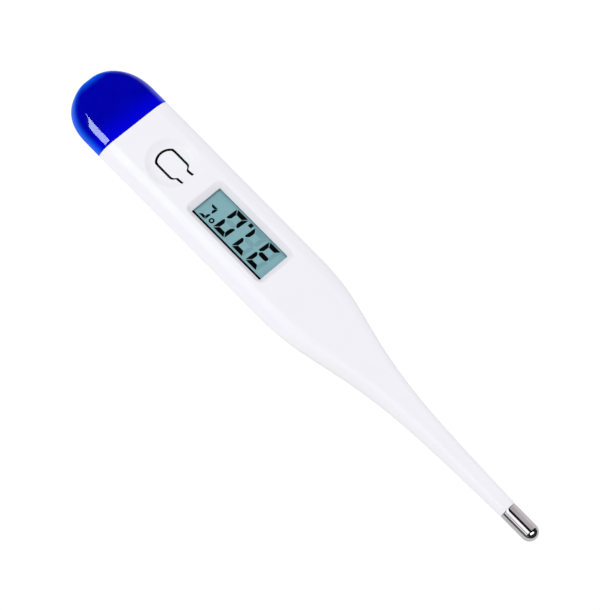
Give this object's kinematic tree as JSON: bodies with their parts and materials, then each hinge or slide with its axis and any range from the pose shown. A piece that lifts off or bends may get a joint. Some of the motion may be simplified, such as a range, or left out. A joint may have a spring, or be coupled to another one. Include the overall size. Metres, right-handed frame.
{
  "type": "digital thermometer",
  "caption": "Rigid stick-type clinical thermometer: flat tapered body with a recessed display, a sprung press tongue, a pull-off battery cap and a metal probe tip.",
  "frame": {"origin": "middle of the bounding box's underside: halfway between the cap's end and the probe's end, on the flat back", "axes": "+X along the length towards the probe tip, +Z out of the display face, +Y across so that the frame is right-handed"},
  "size_m": [0.1248, 0.0178, 0.0095],
  "materials": {
    "housing_white": "satin-gloss moulded white ABS with a faint cool tint",
    "clear_lens": "clear moulded acrylic window",
    "cap_blue": "glossy deep royal-blue translucent plastic",
    "probe_steel": "polished stainless steel",
    "potting": "glossy black epoxy",
    "bead_epoxy": "dark green glazed epoxy bead",
    "wire_red": "red insulated lead",
    "wire_blue": "blue insulated lead",
    "carrier_plastic": "natural white moulded plastic",
    "cell_steel": "nickel-plated steel button cell",
    "contact_metal": "nickel-plated spring strip and wire",
    "board_green": "green solder-masked glass-fibre laminate",
    "capacitor_tan": "tan ceramic chip with tinned ends",
    "solder": "bright solder",
    "plunger_grey": "dark grey moulded plastic",
    "elastomer": "striped conductive silicone strip",
    "lcd_tint": "grey-green reflective polariser film",
    "lcd_glass": "thin clear glass with cut edges",
    "buzzer_brass": "thin rolled brass disc",
    "ceramic_silver": "silvered piezo ceramic"
  },
  "bodies": {
    "body": {"housing": "housing_white", "display_window": "clear_lens", "probe_tip": "probe_steel", "tip_potting": "potting", "thermistor_bead": "bead_epoxy", "lead_wire_left": "wire_red", "lead_wire_right": "wire_blue"},
    "button": {"power_button": "housing_white"},
    "cap": {"battery_cap": "cap_blue"},
    "carrier": {"battery_carrier": "carrier_plastic", "battery": "cell_steel", "battery_contact_negative": "contact_metal", "battery_contact_positive": "contact_metal", "circuit_board": "board_green", "chip_glob_top": "potting", "chip_capacitor_left": "capacitor_tan", "chip_capacitor_right": "capacitor_tan", "chip_resistor_left": "potting", "chip_resistor_right": "potting", "solder_joint_left": "solder", "solder_joint_right": "solder", "switch_dome": "contact_metal", "lcd_holder": "plunger_grey", "zebra_connector": "elastomer", "lcd_reflector": "lcd_tint", "lcd_rear_glass": "lcd_glass", "lcd_front_glass": "lcd_glass", "lcd_front_polariser": "lcd_tint", "buzzer_disc": "buzzer_brass", "buzzer_ceramic": "ceramic_silver", "buzzer_spring_inner": "contact_metal", "buzzer_spring_outer": "contact_metal"},
    "plunger": {"switch_plunger": "plunger_grey"}
  },
  "joints": [
    {"name": "cap_pull", "type": "slide", "parent": "body", "child": "cap", "axis": [-1, 0, 0], "range_m": [0, 0.02]},
    {"name": "carrier_slide", "type": "slide", "parent": "body", "child": "carrier", "axis": [-1, 0, 0], "range_m": [0, 0.0088], "deforming": ["lead_wire_left", "lead_wire_right"]},
    {"name": "button_press", "type": "hinge", "parent": "body", "child": "button", "pos_m": [-0.0335, 0, 0.0086], "axis": [0, -1, 0], "range_deg": [0, 2.5], "stiffness_Nm_per_rad": 0.3},
    {"name": "plunger_press", "type": "slide", "parent": "carrier", "child": "plunger", "axis": [0, 0, -1], "range_m": [0, 0.00022], "deforming": ["switch_dome"]}
  ],
  "couplings": [
    {"joint": "plunger_press", "follows": "button_press", "m_per_rad": 0.00458}
  ]
}
